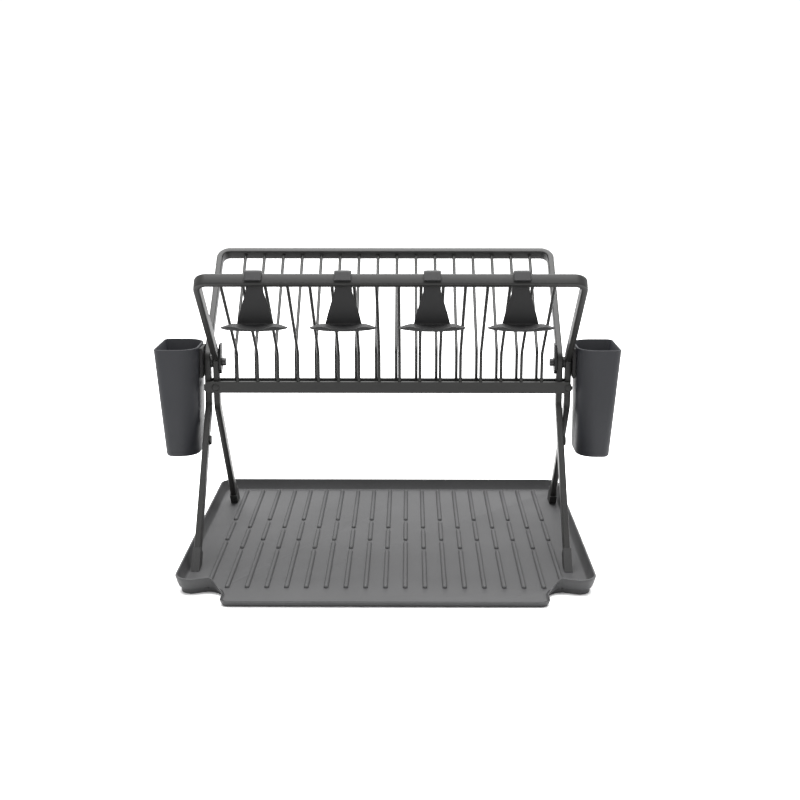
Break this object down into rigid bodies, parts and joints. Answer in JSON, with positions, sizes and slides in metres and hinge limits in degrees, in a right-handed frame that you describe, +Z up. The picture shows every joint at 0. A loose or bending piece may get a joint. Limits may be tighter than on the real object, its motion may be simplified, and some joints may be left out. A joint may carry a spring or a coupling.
{
  "type": "dish drying rack",
  "caption": "Folding drying rack: crossed frames with wire slots for plates and bottles, end cups for cutlery, hanging glass holders and a ribbed drip tray.",
  "frame": {"origin": "centre of the bounding box's underside, on the surface the tray stands on", "axes": "+X along the width, -Y to the front with the drain lip, +Z up"},
  "size_m": [0.486, 0.378, 0.3073],
  "materials": {
    "tray_plastic": "fine-grained moulded plastic",
    "frame_steel": "satin powder coat",
    "cap_plastic": "matte",
    "holder_plastic": "fine-grained moulded plastic",
    "cup_plastic": "fine-grained moulded plastic",
    "pin_steel": "satin",
    "hinge_plastic": "satin"
  },
  "bodies": {
    "tray": {"drip_tray": "tray_plastic"},
    "hinge": {"pivot_pin_left": "pin_steel", "pivot_pin_right": "pin_steel", "hinge_leaf_left": "hinge_plastic", "hinge_leaf_right": "hinge_plastic", "hinge_spacer_left": "hinge_plastic", "hinge_spacer_right": "hinge_plastic"},
    "front_frame": {"front_frame": "frame_steel", "front_lower_bar": "frame_steel", "front_wire_01": "frame_steel", "front_wire_02": "frame_steel", "front_wire_03": "frame_steel", "front_wire_04": "frame_steel", "front_wire_05": "frame_steel", "front_wire_06": "frame_steel", "front_wire_07": "frame_steel", "front_wire_08": "frame_steel", "front_wire_09": "frame_steel", "front_wire_10": "frame_steel", "front_wire_11": "frame_steel", "front_wire_12": "frame_steel", "front_wire_13": "frame_steel", "front_wire_14": "frame_steel", "front_wire_15": "frame_steel", "front_wire_16": "frame_steel", "foot_cap_rear_left": "cap_plastic", "foot_cap_rear_right": "cap_plastic", "glass_holder_1": "holder_plastic", "glass_holder_2": "holder_plastic", "glass_holder_3": "holder_plastic", "glass_holder_4": "holder_plastic"},
    "rear_frame": {"rear_frame": "frame_steel", "rear_lower_bar": "frame_steel", "rear_wire_01": "frame_steel", "rear_wire_02": "frame_steel", "rear_wire_03": "frame_steel", "rear_wire_04": "frame_steel", "rear_wire_05": "frame_steel", "rear_wire_06": "frame_steel", "rear_wire_07": "frame_steel", "rear_wire_08": "frame_steel", "rear_wire_09": "frame_steel", "rear_wire_10": "frame_steel", "rear_wire_11": "frame_steel", "rear_wire_12": "frame_steel", "rear_wire_13": "frame_steel", "rear_wire_14": "frame_steel", "rear_wire_15": "frame_steel", "rear_wire_16": "frame_steel", "foot_cap_front_left": "cap_plastic", "foot_cap_front_right": "cap_plastic", "leg_button_left": "hinge_plastic", "leg_button_right": "hinge_plastic"},
    "basket_left": {"cutlery_cup_left": "cup_plastic", "cup_hook_left": "hinge_plastic"},
    "basket_right": {"cutlery_cup_right": "cup_plastic", "cup_hook_right": "hinge_plastic"}
  },
  "joints": [
    {"name": "rack_lift", "type": "slide", "parent": "tray", "child": "hinge", "axis": [0, 0, 1], "range_m": [0, 0.095]},
    {"name": "frame_front_fold", "type": "hinge", "parent": "hinge", "child": "front_frame", "pos_m": [0, 0.022, 0.194], "axis": [-1, 0, 0], "range_deg": [0, 38]},
    {"name": "frame_rear_fold", "type": "hinge", "parent": "hinge", "child": "rear_frame", "pos_m": [0, 0.022, 0.194], "axis": [1, 0, 0], "range_deg": [0, 38]},
    {"name": "basket_left_lift", "type": "slide", "parent": "hinge", "child": "basket_left", "axis": [0, 0, 1], "range_m": [0, 0.05]},
    {"name": "basket_right_lift", "type": "slide", "parent": "hinge", "child": "basket_right", "axis": [0, 0, 1], "range_m": [0, 0.05]}
  ],
  "couplings": [
    {"joint": "frame_rear_fold", "follows": "frame_front_fold", "ratio": 1},
    {"joint": "rack_lift", "follows": "frame_front_fold", "m_per_rad": 0.135}
  ]
}
